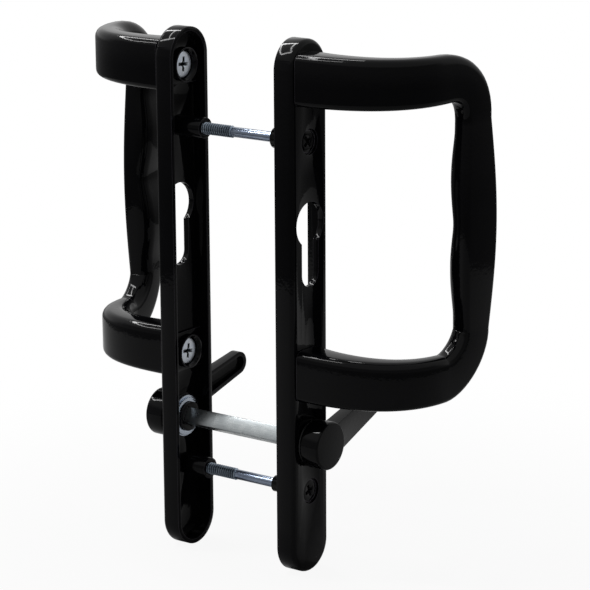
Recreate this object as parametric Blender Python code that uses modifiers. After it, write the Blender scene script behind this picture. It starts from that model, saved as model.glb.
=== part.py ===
# Sliding patio door handle set, both faces of the door.
# Each face has a slim hollow-backed plate, a cranked D pull and a small lever.
# One square spindle joins the levers, and two long screws clamp the plates to the door.
# Metres. +X leaves the door's outer face, +Y is the side the pulls reach to, +Z is up.
# The origin is on the outside plate's rim where it meets the door, in the middle of the wall
# at the plate's foot. Heights are measured up from there.

import math

import bmesh
import bpy
from mathutils import Matrix, Vector

# Fits
clearance = 0.0003            # gap between pieces that seat on or in each other
overrun = 0.002               # how far a cutter runs past the face it opens

# Door
door_thickness = 0.0495       # rim of one plate to rim of the other

# Back plates, as wide as the washer inside them needs
plate_foot_margin = 0.0333    # plate's foot up to the lower long screw
plate_head_margin = 0.0150    # upper pull screw up to the plate's top
plate_depth = 0.0082          # rim to front face
plate_wall = 0.0018
plate_floor = 0.0024          # metal left behind the front face
plate_edge = 0.0019           # round on the front edge
plate_end_steps = 12

# Distances up the plate, and places between the pull screws as shares of their pitch
fixing_to_spindle = 0.0201
spindle_to_pull = 0.0274
pull_pitch = 0.116
cylinder_share = 0.515        # centre of the lock cylinder's round part
upper_fixing_share = 0.791

# Opening for a profile lock cylinder
cylinder_radius = 0.0088
cylinder_leg_width = 0.0107
cylinder_leg_drop = 0.0193    # centre of the round part to centre of the leg's end

# Bosses that take the long screws and locate the plate in the door
boss_radius = 0.00415
boss_reach = 0.0077           # how far a boss stands past the rim
boss_shoulder = 0.0015        # wide part of the lower outside boss past the rim
boss_neck_radius = 0.0033     # its thinner end
boss_neck_reach = 0.0089

# Long screws through the door
fixing_head_radius = 0.00465
fixing_head_sink = 0.0009     # head below the front face
fixing_shank_radius = 0.0020
fixing_thread_radius = 0.0024
fixing_length = 0.060
fixing_thread_length = 0.0244
fixing_recess_radius = 0.0055
fixing_blind_end = 0.001      # tapped hole runs on past the screw's tip
upper_fixing_turn = math.radians(40)
lower_fixing_turn = math.radians(20)

# Screws that hold the pulls, from inside the plates
pull_screw_head_radius = 0.0052
pull_screw_head_height = 0.0018
pull_screw_crown = 0.0008     # slope at the head's edge
pull_screw_head_depth = 0.0033    # rim plane down to the head
pull_screw_radius = 0.0025
pull_screw_length = 0.016
pull_pad_height = 0.0158
pull_pad_sink = 0.0040        # pad below the rim
pull_boss_radius = 0.0068     # round boss that stands on the pad
pull_boss_sink = 0.0010       # and ends this far below the rim
pull_recess_radius = 0.0055
lower_pull_screw_turn = math.radians(4)
upper_pull_screw_turn = math.radians(1)

# Cross slots in the screw heads
slot_width = 0.0011
slot_span_share = 0.60        # of the head's diameter
slot_depth = 0.0013

# D pulls
pull_root_width = 0.0200      # across the plate
pull_root_height = 0.0200
pull_arm_height = 0.0183      # where the arm meets the corner
pull_elbow_x = 0.0477         # the curve's corner in plan, from the rim plane
pull_elbow_y = -0.0058
pull_reach = 0.0528           # grip's centre from the rim plane
pull_corner_y = 0.0226        # where the corner down to the grip starts
pull_corner_radius = 0.0170
pull_arm_rise = 0.0007        # both arms' roots above their screws
pull_root_inset = 0.0004      # and towards each other
pull_arm_spread = 0.0006      # arms part by this much towards the grip
grip_thickness = 0.0098
grip_end_width = 0.0142
grip_middle_width = 0.0184
grip_bow = 0.0026             # outer face's bulge at mid height
grip_front_bow = 0.0011       # front face's bulge at mid height
grip_front_round = 0.0023
grip_back_round = 0.0088
taper_power_share = 0.8       # how late the arm thins
root_blend_share = 0.25       # of the arm, turning from square to the plate into its curve
upper_corner_power_share = 2.35   # 2 is a quarter circle, more is squarer
lower_corner_power_share = 1.7
back_round_limit_share = 0.49
finger_pitch_share = 0.440    # of the straight part of the grip
finger_depth = 0.0021
finger_softness_share = 0.22
pull_middle_shift = 0.0004    # the middle hollow above mid height
arm_stations = 11
corner_stations = 8
grip_stations = 26
front_corner_steps = 3
back_corner_steps = 5

# Levers
lever_hub_radius = 0.0096
lever_hub_front = 0.0178      # from the rim plane
lever_hub_edge = 0.0008
lever_length = 0.0493         # axis to tip
lever_root_height = 0.0120
lever_tip_height = 0.0095
lever_front_at_axis = 0.0174
lever_front_at_tip = 0.0136
lever_root_thickness = 0.0064
lever_tip_thickness = 0.0038
lever_edge = 0.0007
lever_hollow_height = 0.012   # cutter for the hollow runs this far behind the lever
lever_wall = 0.0018           # wall round the hollow in the lever's back
lever_web = 0.0018            # metal left in front of that hollow
lever_tilt = math.radians(14.3)
lever_neck_radius = 0.0060
lever_neck_end = 0.0022       # neck stops this far inside the rim plane
tip_steps = 10

# Square spindle
spindle_side = 0.00635
spindle_edge = 0.0003
spindle_socket_end = 0.0030   # metal left at the end of the lever's square hole
spindle_to_lever = math.radians(45)    # a corner of the square points along the lever

# Neck bearing: bush, washer and ring
neck_boss_radius = 0.0092
neck_boss_height = 0.0005
bush_wall = 0.0010
bush_flange_radius = 0.0088
bush_flange = 0.0006
washer_rim = 0.0021
washer_side_gap = 0.0014      # washer's edge to the plate's side wall
washer_thickness = 0.0008
ring_radius = 0.0077
ring_thickness = 0.0008
ring_groove_depth = 0.0007
ring_opening = math.radians(64)
ring_offset = 0.0004          # outer edge off centre, so the ring is widest at its back
ring_steps = 24

# Facets
round_steps = 32
small_round_steps = 20

# Sizes that follow from the ones above
plate_foot = -plate_wall / 2
lower_fixing_height = plate_foot + plate_foot_margin
spindle_height = lower_fixing_height + fixing_to_spindle
lower_pull_height = spindle_height + spindle_to_pull
upper_pull_height = lower_pull_height + pull_pitch
cylinder_height = lower_pull_height + pull_pitch * cylinder_share
upper_fixing_height = lower_pull_height + pull_pitch * upper_fixing_share
plate_top = upper_pull_height + plate_head_margin
finger_pitch = (pull_pitch - 2 * pull_corner_radius) * finger_pitch_share
neck_bore = lever_neck_radius + clearance
washer_radius = neck_bore + washer_rim
plate_width = 2 * (washer_radius + washer_side_gap + plate_wall)
bush_outer = neck_bore + bush_wall
neck_hole_radius = bush_outer + clearance
bush_flange_front = plate_depth + clearance + bush_flange
lever_hub_back = bush_flange_front + clearance
neck_boss_top = plate_depth - plate_floor - neck_boss_height
washer_top = neck_boss_top - clearance - washer_thickness
ring_top = washer_top - clearance - ring_thickness
groove_radius = lever_neck_radius - ring_groove_depth
fixing_head_top = plate_depth - fixing_head_sink
fixing_head_height = fixing_head_radius - fixing_shank_radius
fixing_tip = fixing_head_top - fixing_length
spindle_turn = lever_tilt + spindle_to_lever


def clear_scene():
    for item in list(bpy.data.objects):
        bpy.data.objects.remove(item, do_unlink=True)


def make_collection(name):
    group = bpy.data.collections.new(name)
    bpy.context.scene.collection.children.link(group)
    return group


clear_scene()
handle_set = make_collection("patio_door_handle")
cutters = make_collection("cutters")


def add_object(name, shape, group):
    mesh = bpy.data.meshes.new(name)
    shape.normal_update()
    shape.to_mesh(mesh)
    shape.free()
    item = bpy.data.objects.new(name, mesh)
    group.objects.link(item)
    return item


def hide_tool(item):
    item.hide_render = True
    item.display_type = 'WIRE'
    return item


# Cylinder or cone along X, from start to end
def rod(name, start, end, radius, y=0, z=0, end_radius=None, steps=round_steps, group=None):
    shape = bmesh.new()
    last = radius if end_radius is None else end_radius
    bmesh.ops.create_cone(shape, cap_ends=True, segments=steps, radius1=radius, radius2=last,
                          depth=end - start)
    turn = Matrix.Rotation(math.radians(90), 4, 'Y')
    shift = Matrix.Translation(Vector(((start + end) / 2, y, z)))
    bmesh.ops.transform(shape, matrix=shift @ turn, verts=shape.verts)
    return add_object(name, shape, group or cutters)


def block(name, low, high, group=None):
    shape = bmesh.new()
    bmesh.ops.create_cube(shape, size=1)
    size = Vector(high) - Vector(low)
    middle = (Vector(high) + Vector(low)) / 2
    bmesh.ops.scale(shape, vec=size, verts=shape.verts)
    bmesh.ops.translate(shape, vec=middle, verts=shape.verts)
    return add_object(name, shape, group or cutters)


# Flat outline in the YZ plane, given as (y, z) points, made solid from start to end along X
def slab(name, outline, start, end, group=None):
    curve = bpy.data.curves.new(name, 'CURVE')
    curve.dimensions = '2D'
    curve.fill_mode = 'BOTH'
    curve.extrude = (end - start) / 2
    spline = curve.splines.new('POLY')
    spline.points.add(len(outline) - 1)
    for point, (y, z) in zip(spline.points, outline):
        point.co = (y, z, 0, 1)
    spline.use_cyclic_u = True
    flat = bpy.data.objects.new(name + "_outline", curve)
    cutters.objects.link(flat)
    # Curve x, y, z become Y, Z and X
    flat.matrix_world = Matrix(((0, 0, 1, (start + end) / 2), (1, 0, 0, 0), (0, 1, 0, 0), (0, 0, 0, 1)))
    bpy.context.view_layer.update()
    placed = flat.evaluated_get(bpy.context.evaluated_depsgraph_get())
    mesh = bpy.data.meshes.new_from_object(placed)
    shape = bmesh.new()
    shape.from_mesh(mesh)
    bmesh.ops.remove_doubles(shape, verts=shape.verts, dist=clearance / 100)
    bmesh.ops.transform(shape, matrix=flat.matrix_world, verts=shape.verts)
    bmesh.ops.recalc_face_normals(shape, faces=shape.faces)
    bpy.data.objects.remove(flat)
    bpy.data.curves.remove(curve)
    bpy.data.meshes.remove(mesh)
    return add_object(name, shape, group or cutters)


# Profile of (x, radius) points, closed, turned about the X axis
def turned(name, profile, group=None, steps=round_steps):
    shape = bmesh.new()
    corners = [shape.verts.new((x, radius, 0)) for x, radius in profile]
    for first, second in zip(corners, corners[1:] + corners[:1]):
        shape.edges.new((first, second))
    item = add_object(name, shape, group or cutters)
    screw = item.modifiers.new("turn", 'SCREW')
    screw.axis = 'X'
    screw.steps = steps
    screw.render_steps = steps
    screw.use_merge_vertices = True
    screw.merge_threshold = clearance / 100
    settle(item)
    face_outwards(item)
    return item


def face_outwards(item):
    shape = bmesh.new()
    shape.from_mesh(item.data)
    bmesh.ops.recalc_face_normals(shape, faces=shape.faces)
    shape.to_mesh(item.data)
    shape.free()


def combine(item, tool, operation):
    change = item.modifiers.new(tool.name, 'BOOLEAN')
    change.operation = operation
    change.solver = 'EXACT'
    change.object = tool
    hide_tool(tool)


def cut(item, tool):
    combine(item, tool, 'DIFFERENCE')


def join(item, tool):
    combine(item, tool, 'UNION')


# Turn an object's modifiers into plain mesh
def settle(item):
    bpy.context.view_layer.update()
    done = item.evaluated_get(bpy.context.evaluated_depsgraph_get())
    mesh = bpy.data.meshes.new_from_object(done)
    old = item.data
    item.modifiers.clear()
    item.data = mesh
    bpy.data.meshes.remove(old)
    mesh.name = item.name


def shade_round(item, angle=math.radians(35)):
    item.data.shade_smooth()
    item.data.set_sharp_from_angle(angle=angle)


def give_finish(item, finish):
    kinds = {
        "gloss black": ((0.006, 0.006, 0.008, 1), 0.12, 0.0),
        "zinc plate": ((0.42, 0.46, 0.52, 1), 0.32, 1.0),
        "nylon": ((0.03, 0.03, 0.03, 1), 0.55, 0.0),
    }
    colour, roughness, metallic = kinds[finish]
    material = bpy.data.materials.new(item.name + " " + finish)
    material.use_nodes = True
    shader = material.node_tree.nodes["Principled BSDF"]
    shader.inputs["Base Color"].default_value = colour
    shader.inputs["Roughness"].default_value = roughness
    shader.inputs["Metallic"].default_value = metallic
    item.data.materials.clear()
    item.data.materials.append(material)


# The same piece for the door's inner face
def inside_copy(item, name):
    shape = bmesh.new()
    shape.from_mesh(item.data)
    bmesh.ops.transform(shape, matrix=item.matrix_basis, verts=shape.verts)
    flip = Matrix.Translation(Vector((-door_thickness, 0, 0))) @ Matrix.Scale(-1, 4, Vector((1, 0, 0)))
    bmesh.ops.transform(shape, matrix=flip, verts=shape.verts)
    bmesh.ops.reverse_faces(shape, faces=shape.faces)
    bmesh.ops.transform(shape, matrix=item.matrix_basis.inverted(), verts=shape.verts)
    copy = add_object(name, shape, handle_set)
    copy.matrix_basis = item.matrix_basis
    return copy


def arc(y, z, radius, first, last, steps):
    turn = (last - first) / steps
    return [(y + radius * math.cos(first + turn * i), z + radius * math.sin(first + turn * i))
            for i in range(steps + 1)]


# Straight-sided outline with full-round ends
def slot_outline(width, low, high, steps):
    radius = width / 2
    top = arc(0, high - radius, radius, 0, math.pi, steps)
    foot = arc(0, low + radius, radius, math.pi, 2 * math.pi, steps)
    return top + foot


def keyhole_outline():
    half_leg = cylinder_leg_width / 2
    drop = math.sqrt(cylinder_radius ** 2 - half_leg ** 2)
    first = -math.atan2(drop, half_leg)
    round_part = arc(0, cylinder_height, cylinder_radius, first, math.pi - first, round_steps)
    leg_end = arc(0, cylinder_height - cylinder_leg_drop, half_leg, math.pi, 2 * math.pi, tip_steps)
    return round_part + leg_end


# Cross slot in a head that lies in the plane x = top, sunk towards +X or -X
def cross_cutter(name, top, inwards, radius, y, z, turn):
    span = radius * 2 * slot_span_share
    bottom = top + inwards * slot_depth
    outer = top - inwards * overrun
    first, last = min(bottom, outer), max(bottom, outer)
    arms = []
    for index, (wide, tall) in enumerate(((span, slot_width), (slot_width, span))):
        low, high = (first, -wide / 2, -tall / 2), (last, wide / 2, tall / 2)
        arms.append(block(name + "_arm_" + str(index), low, high))
    join(arms[0], arms[1])
    settle(arms[0])
    place = Matrix.Translation(Vector((0, y, z))) @ Matrix.Rotation(turn, 4, 'X')
    arms[0].data.transform(place)
    return arms[0]


# Back plate as it stands on the outer face; the inner one is tapped instead of drilled through
def make_plate(name, tapped):
    outer = slot_outline(plate_width, plate_foot, plate_top, plate_end_steps)
    plate = slab(name, outer, 0, plate_depth, handle_set)
    soften_front(plate)
    room = plate_width - 2 * plate_wall
    inner = slot_outline(room, plate_foot + plate_wall, plate_top - plate_wall, plate_end_steps)
    cut(plate, slab(name + "_hollow", inner, -overrun, plate_depth - plate_floor))
    add_pull_pads(plate, name, room + plate_wall)
    add_neck_boss(plate, name)
    cut(plate, slab(name + "_keyhole", keyhole_outline(), -overrun, plate_depth + overrun))
    for level, height in (("lower", lower_fixing_height), ("upper", upper_fixing_height)):
        thin = level == "lower" and not tapped
        add_fixing_boss(plate, name + "_" + level, height, tapped, thin)
    settle(plate)
    shade_round(plate)
    return plate


def soften_front(plate):
    shape = bmesh.new()
    shape.from_mesh(plate.data)
    front = [edge for edge in shape.edges
             if all(abs(vert.co.x - plate_depth) < clearance for vert in edge.verts)
             and len({round(face.normal.x) for face in edge.link_faces}) == 2]
    bmesh.ops.bevel(shape, geom=front, offset=plate_edge, segments=3, profile=0.5, affect='EDGES')
    shape.to_mesh(plate.data)
    shape.free()


def add_pull_pads(plate, name, width):
    back = plate_depth - plate_floor / 2
    for level, height in (("lower", lower_pull_height), ("upper", upper_pull_height)):
        low = (pull_pad_sink, -width / 2, height - pull_pad_height / 2)
        high = (back, width / 2, height + pull_pad_height / 2)
        if level == "upper":
            arch = arc(0, plate_top - plate_width / 2, width / 2, 0, math.pi, plate_end_steps)
            outline = arch + [(-width / 2, low[2]), (width / 2, low[2])]
            join(plate, slab(name + "_upper_pad", outline, pull_pad_sink, back))
        else:
            join(plate, block(name + "_lower_pad", low, high))
        join(plate, rod(name + "_" + level + "_pad_boss", pull_boss_sink, back, pull_boss_radius,
                        z=height))
        seat = pull_screw_head_depth + pull_screw_head_height + clearance
        cut(plate, rod(name + "_" + level + "_pad_recess", -overrun, seat, pull_recess_radius, z=height))
        cut(plate, rod(name + "_" + level + "_pad_hole", 0, plate_depth + overrun,
                       pull_screw_radius + clearance, z=height, steps=small_round_steps))


def add_neck_boss(plate, name):
    back = plate_depth - plate_floor / 2
    join(plate, rod(name + "_neck_boss", neck_boss_top, back, neck_boss_radius, z=spindle_height))
    cut(plate, rod(name + "_neck_hole", -overrun, plate_depth + overrun, neck_hole_radius,
                   z=spindle_height))


def add_fixing_boss(plate, name, height, tapped, thin):
    back = plate_depth - plate_floor / 2
    reach = boss_shoulder if thin else boss_reach
    join(plate, rod(name + "_boss", -reach, back, boss_radius, z=height, steps=small_round_steps))
    if thin:
        join(plate, rod(name + "_boss_end", -boss_neck_reach, clearance, boss_neck_radius, z=height,
                        steps=small_round_steps))
    hole = fixing_thread_radius + clearance
    if tapped:
        depth = -door_thickness - fixing_tip + fixing_blind_end
        cut(plate, rod(name + "_tapped_hole", -boss_reach - overrun, depth, hole, z=height,
                       steps=small_round_steps))
        return
    cut(plate, rod(name + "_hole", -boss_neck_reach - overrun, plate_depth + overrun, hole, z=height,
                   steps=small_round_steps))
    # Countersink, with a short straight mouth
    mouth = fixing_head_top
    throat = mouth - (fixing_recess_radius - hole)
    cut(plate, rod(name + "_countersink", throat, mouth, hole, z=height,
                   end_radius=fixing_recess_radius))
    cut(plate, rod(name + "_mouth", mouth - clearance / 2, plate_depth + overrun, fixing_recess_radius,
                   z=height))


# Plan of a pull's arm: a quadratic curve from the plate to the start of the corner
def arm_place(share):
    root = Vector((plate_depth + clearance, 0))
    elbow = Vector((pull_elbow_x, pull_elbow_y))
    end = Vector((pull_reach, pull_corner_y))
    rest = 1 - share
    point = rest * rest * root + 2 * rest * share * elbow + share * share * end
    along = rest * (elbow - root) + share * (end - elbow)
    # The root is square to the plate
    straight = max(0, 1 - share / root_blend_share)
    along = along.normalized().lerp(Vector((1, 0)), straight).normalized()
    return point, along


# Section of a pull: centre, direction to its front, direction to its outer side, thickness, width
def arm_sections(screw_height, outwards):
    sections = []
    for index in range(arm_stations):
        share = index / (arm_stations - 1)
        point, along = arm_place(share)
        thin = share ** taper_power_share
        thickness = pull_root_width + (grip_thickness - pull_root_width) * thin
        tall = pull_root_height + (pull_arm_height - pull_root_height) * share
        front = Vector((along.y, -along.x, 0))
        height = screw_height + pull_arm_rise + outwards * (pull_arm_spread * share - pull_root_inset)
        centre = Vector((point.x, point.y, height))
        sections.append((centre, front, Vector((0, 0, outwards)), thickness, tall))
    return sections


def corner_sections(start, end_along, outwards, power):
    centre, front, _, thickness, tall = start
    hub = centre - Vector((0, 0, outwards * pull_corner_radius))
    side = Vector((end_along.x, end_along.y, 0))
    sections = []
    for index in range(1, corner_stations):
        share = index / (corner_stations - 1)
        angle = share * math.pi / 2
        rise, run = math.cos(angle) ** (2 / power), math.sin(angle) ** (2 / power)
        place = hub + (Vector((0, 0, outwards)) * rise + side * run) * pull_corner_radius
        away = Vector((0, 0, outwards)) * rise ** (power - 1) + side * run ** (power - 1)
        width = tall + (grip_end_width - tall) * share
        sections.append((place, front, away.normalized(), thickness, width))
    return sections


# Two swells between three hollows, on the side that faces the door
def finger_swell(height, middle):
    place = (height - middle) / finger_pitch
    if abs(place) > 1:
        return 0
    wave = math.sqrt(math.sin(math.pi * place) ** 2 + finger_softness_share ** 2) - finger_softness_share
    return finger_depth * wave / (math.sqrt(1 + finger_softness_share ** 2) - finger_softness_share)


def grip_sections(top, foot, end_along, middle):
    side = Vector((end_along.x, end_along.y, 0))
    sections = []
    for index in range(1, grip_stations - 1):
        share = index / (grip_stations - 1)
        swell = math.sin(math.pi * share)
        width = grip_end_width + (grip_middle_width - grip_end_width) * swell
        out = grip_bow * swell - (grip_middle_width - grip_end_width) * swell / 2
        centre = top[0].lerp(foot[0], share) + side * out
        extra = finger_swell(centre.z, middle)
        centre = centre + top[1] * (grip_front_bow * swell - extra / 2)
        sections.append((centre, top[1], side, grip_thickness + extra, width))
    return sections


# Rounded rectangle across a pull, softer at its back than at its front
def section_ring(shape, section):
    centre, front, outwards, thickness, width = section
    back_round = min(grip_back_round, thickness * back_round_limit_share, width * back_round_limit_share)
    front_round = min(grip_front_round, thickness - back_round)
    corners = (
        (1, 1, 0, front_round, front_corner_steps),
        (-1, 1, 90, back_round, back_corner_steps),
        (-1, -1, 180, back_round, back_corner_steps),
        (1, -1, 270, front_round, front_corner_steps),
    )
    ring = []
    for forward, sideways, first, radius, steps in corners:
        middle = centre + front * forward * (thickness / 2 - radius)
        middle = middle + outwards * sideways * (width / 2 - radius)
        for y, z in arc(0, 0, radius, math.radians(first), math.radians(first + 90), steps):
            ring.append(shape.verts.new(middle + front * y + outwards * z))
    return ring


def make_pull(name):
    end_along = (Vector((pull_reach, pull_corner_y)) - Vector((pull_elbow_x, pull_elbow_y))).normalized()
    upper = arm_sections(upper_pull_height, 1)
    lower = arm_sections(lower_pull_height, -1)
    middle = (upper[-1][0].z + lower[-1][0].z) / 2 + pull_middle_shift
    upper += corner_sections(upper[-1], end_along, 1, upper_corner_power_share)
    lower += corner_sections(lower[-1], end_along, -1, lower_corner_power_share)
    grip = grip_sections(upper[-1], lower[-1], end_along, middle)
    shape = bmesh.new()
    rings = [section_ring(shape, section) for section in upper + grip + lower[::-1]]
    for ring, following in zip(rings, rings[1:]):
        count = len(ring)
        for index in range(count):
            after = (index + 1) % count
            shape.faces.new((ring[index], ring[after], following[after], following[index]))
    shape.faces.new(rings[0])
    shape.faces.new(rings[-1][::-1])
    bmesh.ops.recalc_face_normals(shape, faces=shape.faces)
    pull = add_object(name, shape, handle_set)
    for level, height in (("lower", lower_pull_height), ("upper", upper_pull_height)):
        end = pull_screw_head_depth + pull_screw_head_height + pull_screw_length + overrun
        cut(pull, rod(name + "_" + level + "_hole", plate_depth - overrun, end,
                      pull_screw_radius + clearance, z=height, steps=small_round_steps))
    settle(pull)
    shade_round(pull)
    return pull


def make_pull_screw(name, height, turn):
    head = pull_screw_head_depth
    under = head + pull_screw_head_height
    tip = under + pull_screw_length
    profile = (
        (head, 0), (head, pull_screw_head_radius - pull_screw_crown),
        (head + pull_screw_crown, pull_screw_head_radius),
        (under, pull_screw_head_radius), (under, pull_screw_radius),
        (tip - pull_screw_radius / 2, pull_screw_radius), (tip, pull_screw_radius / 2), (tip, 0),
    )
    screw = turned(name, profile, handle_set, small_round_steps)
    screw.data.transform(Matrix.Translation(Vector((0, 0, height))))
    cut(screw, cross_cutter(name + "_cross", head, 1, pull_screw_head_radius, 0, height, turn))
    settle(screw)
    shade_round(screw)
    return screw


def make_fixing_screw(name, height, turn):
    head = fixing_head_top
    under = head - fixing_head_height
    thread = fixing_tip + fixing_thread_length
    slope = fixing_thread_radius - fixing_shank_radius
    profile = (
        (fixing_tip, 0), (fixing_tip, fixing_shank_radius / 2),
        (fixing_tip + fixing_shank_radius / 2, fixing_thread_radius),
        (thread - slope, fixing_thread_radius), (thread, fixing_shank_radius),
        (under, fixing_shank_radius), (head, fixing_head_radius), (head, 0),
    )
    screw = turned(name, profile, handle_set, small_round_steps)
    screw.data.transform(Matrix.Translation(Vector((0, 0, height))))
    cut(screw, cross_cutter(name + "_cross", head, -1, fixing_head_radius, 0, height, turn))
    settle(screw)
    shade_round(screw)
    return screw


def lever_face(share, front):
    face = lever_front_at_axis + (lever_front_at_tip - lever_front_at_axis) * share
    if front:
        return face
    return face - lever_root_thickness - (lever_tip_thickness - lever_root_thickness) * share


# Lever arm along +Y about the spindle's axis, inset all round by a wall
def arm_outline(start, inset):
    half_tip = lever_tip_height / 2
    half_root = lever_root_height / 2
    fall = (half_root - half_tip) / (lever_length - half_tip)
    half_start = half_root - fall * start - inset
    tip = arc(lever_length - half_tip, 0, half_tip - inset, math.pi / 2, -math.pi / 2, tip_steps)
    return [(start, -half_start), (start, half_start)] + tip


# Slope the two faces of a flat lever piece from its axis to its tip
def slope_lever(item, front_web, split):
    for vert in item.data.vertices:
        share = vert.co.y / lever_length
        if vert.co.x > split:
            vert.co.x = lever_face(share, True) - front_web
        elif front_web == 0:
            vert.co.x = lever_face(share, False)


def make_lever(name):
    split = (lever_front_at_tip + lever_front_at_axis - lever_root_thickness) / 2
    arm = slab(name + "_arm", arm_outline(0, 0), split - overrun, split + overrun)
    slope_lever(arm, 0, split)
    edge = arm.modifiers.new("edge", 'BEVEL')
    edge.width = lever_edge
    edge.segments = 2
    edge.limit_method = 'ANGLE'
    edge.angle_limit = math.radians(50)
    lever = rod(name, lever_hub_back, lever_hub_front, lever_hub_radius, group=handle_set)
    hub_edge = lever.modifiers.new("edge", 'BEVEL')
    hub_edge.width = lever_hub_edge
    hub_edge.segments = 3
    hub_edge.limit_method = 'ANGLE'
    hub_edge.angle_limit = math.radians(50)
    join(lever, arm)
    hollow_start = lever_hub_radius + lever_wall
    hollow = slab(name + "_hollow", arm_outline(hollow_start, lever_wall), split - lever_hollow_height,
                  split + overrun)
    slope_lever(hollow, lever_web, split)
    cut(lever, hollow)
    join(lever, rod(name + "_neck", lever_neck_end, lever_hub_back + overrun, lever_neck_radius))
    groove_low = ring_top - clearance
    groove_high = ring_top + ring_thickness + clearance
    outer = lever_neck_radius + overrun
    cut(lever, turned(name + "_groove", ((groove_low, groove_radius), (groove_low, outer),
                                         (groove_high, outer), (groove_high, groove_radius))))
    half = spindle_side / 2 + clearance
    socket_end = lever_hub_front - spindle_socket_end
    socket = block(name + "_socket", (-overrun, -half, -half), (socket_end, half, half))
    socket.data.transform(Matrix.Rotation(spindle_turn - lever_tilt, 4, 'X'))
    cut(lever, socket)
    settle(lever)
    shade_round(lever)
    set_on_spindle(lever, lever_tilt)
    return lever


# Moving pieces have their origin on the spindle's axis
def set_on_spindle(item, turn):
    item.location = (0, 0, spindle_height)
    item.rotation_euler = (turn, 0, 0)
    bpy.context.view_layer.update()


def make_spindle(name):
    half = spindle_side / 2
    end = lever_hub_front - spindle_socket_end - clearance
    bar = block(name, (-door_thickness - end, -half, -half), (end, half, half), handle_set)
    edge = bar.modifiers.new("edge", 'BEVEL')
    edge.width = spindle_edge
    edge.segments = 1
    settle(bar)
    set_on_spindle(bar, spindle_turn)
    return bar


def make_bush(name):
    flange_back = plate_depth + clearance
    profile = (
        (neck_boss_top, neck_bore), (neck_boss_top, bush_outer), (flange_back, bush_outer),
        (flange_back, bush_flange_radius), (bush_flange_front, bush_flange_radius),
        (bush_flange_front, neck_bore),
    )
    bush = turned(name, profile, handle_set)
    bush.data.transform(Matrix.Translation(Vector((0, 0, spindle_height))))
    shade_round(bush)
    return bush


def make_washer(name):
    back = washer_top + washer_thickness
    profile = (
        (washer_top, neck_bore), (washer_top, washer_radius), (back, washer_radius), (back, neck_bore),
    )
    washer = turned(name, profile, handle_set)
    washer.data.transform(Matrix.Translation(Vector((0, 0, spindle_height))))
    shade_round(washer)
    return washer


# Open retaining ring, widest opposite its opening
def make_ring(name):
    inner = groove_radius + clearance
    first = ring_opening / 2
    last = 2 * math.pi - first
    outer_edge = arc(-ring_offset, 0, ring_radius, first, last, ring_steps)
    inner_edge = arc(0, 0, inner, last, first, ring_steps)
    ring = slab(name, outer_edge + inner_edge, ring_top, ring_top + ring_thickness, handle_set)
    shade_round(ring)
    set_on_spindle(ring, lever_tilt)
    return ring


def build():
    outside_plate = make_plate("outside_backplate", False)
    tapped_plate = make_plate("inside_backplate_form", True)
    inside_plate = inside_copy(tapped_plate, "inside_backplate")
    bpy.data.objects.remove(tapped_plate)
    outside_pull = make_pull("outside_pull")
    inside_pull = inside_copy(outside_pull, "inside_pull")
    outside_lever = make_lever("outside_lever")
    inside_lever = inside_copy(outside_lever, "inside_lever")
    for item in (outside_plate, inside_plate, outside_pull, inside_pull, outside_lever, inside_lever):
        shade_round(item)
        give_finish(item, "gloss black")
    for level, height, turn in (("upper", upper_pull_height, upper_pull_screw_turn),
                                ("lower", lower_pull_height, lower_pull_screw_turn)):
        screw = make_pull_screw("outside_pull_screw_" + level, height, turn)
        for item in (screw, inside_copy(screw, "inside_pull_screw_" + level)):
            give_finish(item, "zinc plate")
    for level, height, turn in (("upper", upper_fixing_height, upper_fixing_turn),
                                ("lower", lower_fixing_height, lower_fixing_turn)):
        give_finish(make_fixing_screw("fixing_screw_" + level, height, turn), "zinc plate")
    give_finish(make_spindle("spindle"), "zinc plate")
    bush = make_bush("outside_lever_bush")
    for item in (bush, inside_copy(bush, "inside_lever_bush")):
        give_finish(item, "nylon")
    washer = make_washer("outside_lever_washer")
    ring = make_ring("outside_retaining_ring")
    for item in (washer, inside_copy(washer, "inside_lever_washer"),
                 ring, inside_copy(ring, "inside_retaining_ring")):
        give_finish(item, "zinc plate")


build()
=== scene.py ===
# Patio door handle set in gloss black, seen from the outer side and a little above.
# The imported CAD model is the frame; the visible castings and screws are modelled over it here.
import math

import bmesh
import bpy
from mathutils import Matrix, Quaternion, Vector


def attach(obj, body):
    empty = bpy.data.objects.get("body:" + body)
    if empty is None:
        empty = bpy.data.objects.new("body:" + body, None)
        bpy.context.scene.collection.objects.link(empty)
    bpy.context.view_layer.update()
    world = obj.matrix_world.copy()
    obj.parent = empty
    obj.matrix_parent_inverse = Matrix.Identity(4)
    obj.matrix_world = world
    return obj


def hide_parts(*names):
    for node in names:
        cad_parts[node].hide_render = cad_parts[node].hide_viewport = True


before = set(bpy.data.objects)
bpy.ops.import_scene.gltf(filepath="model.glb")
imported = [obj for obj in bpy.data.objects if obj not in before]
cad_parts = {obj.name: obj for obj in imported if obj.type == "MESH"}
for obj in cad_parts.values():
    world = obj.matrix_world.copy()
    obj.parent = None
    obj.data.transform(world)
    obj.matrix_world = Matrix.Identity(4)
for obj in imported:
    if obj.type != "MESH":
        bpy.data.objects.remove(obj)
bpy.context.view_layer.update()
scene = bpy.context.scene
mm = 0.001
mergeWithin = 0.002 * mm  # points closer than this are one point
sameLevel = 0.01 * mm  # and ones closer than this lie in one plane
overrun = 1 * mm  # how far a cutter reaches past what it cuts
sides = {"large": 64, "medium": 48, "boss": 40, "hole": 32, "pin": 24}  # of round shapes

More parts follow.
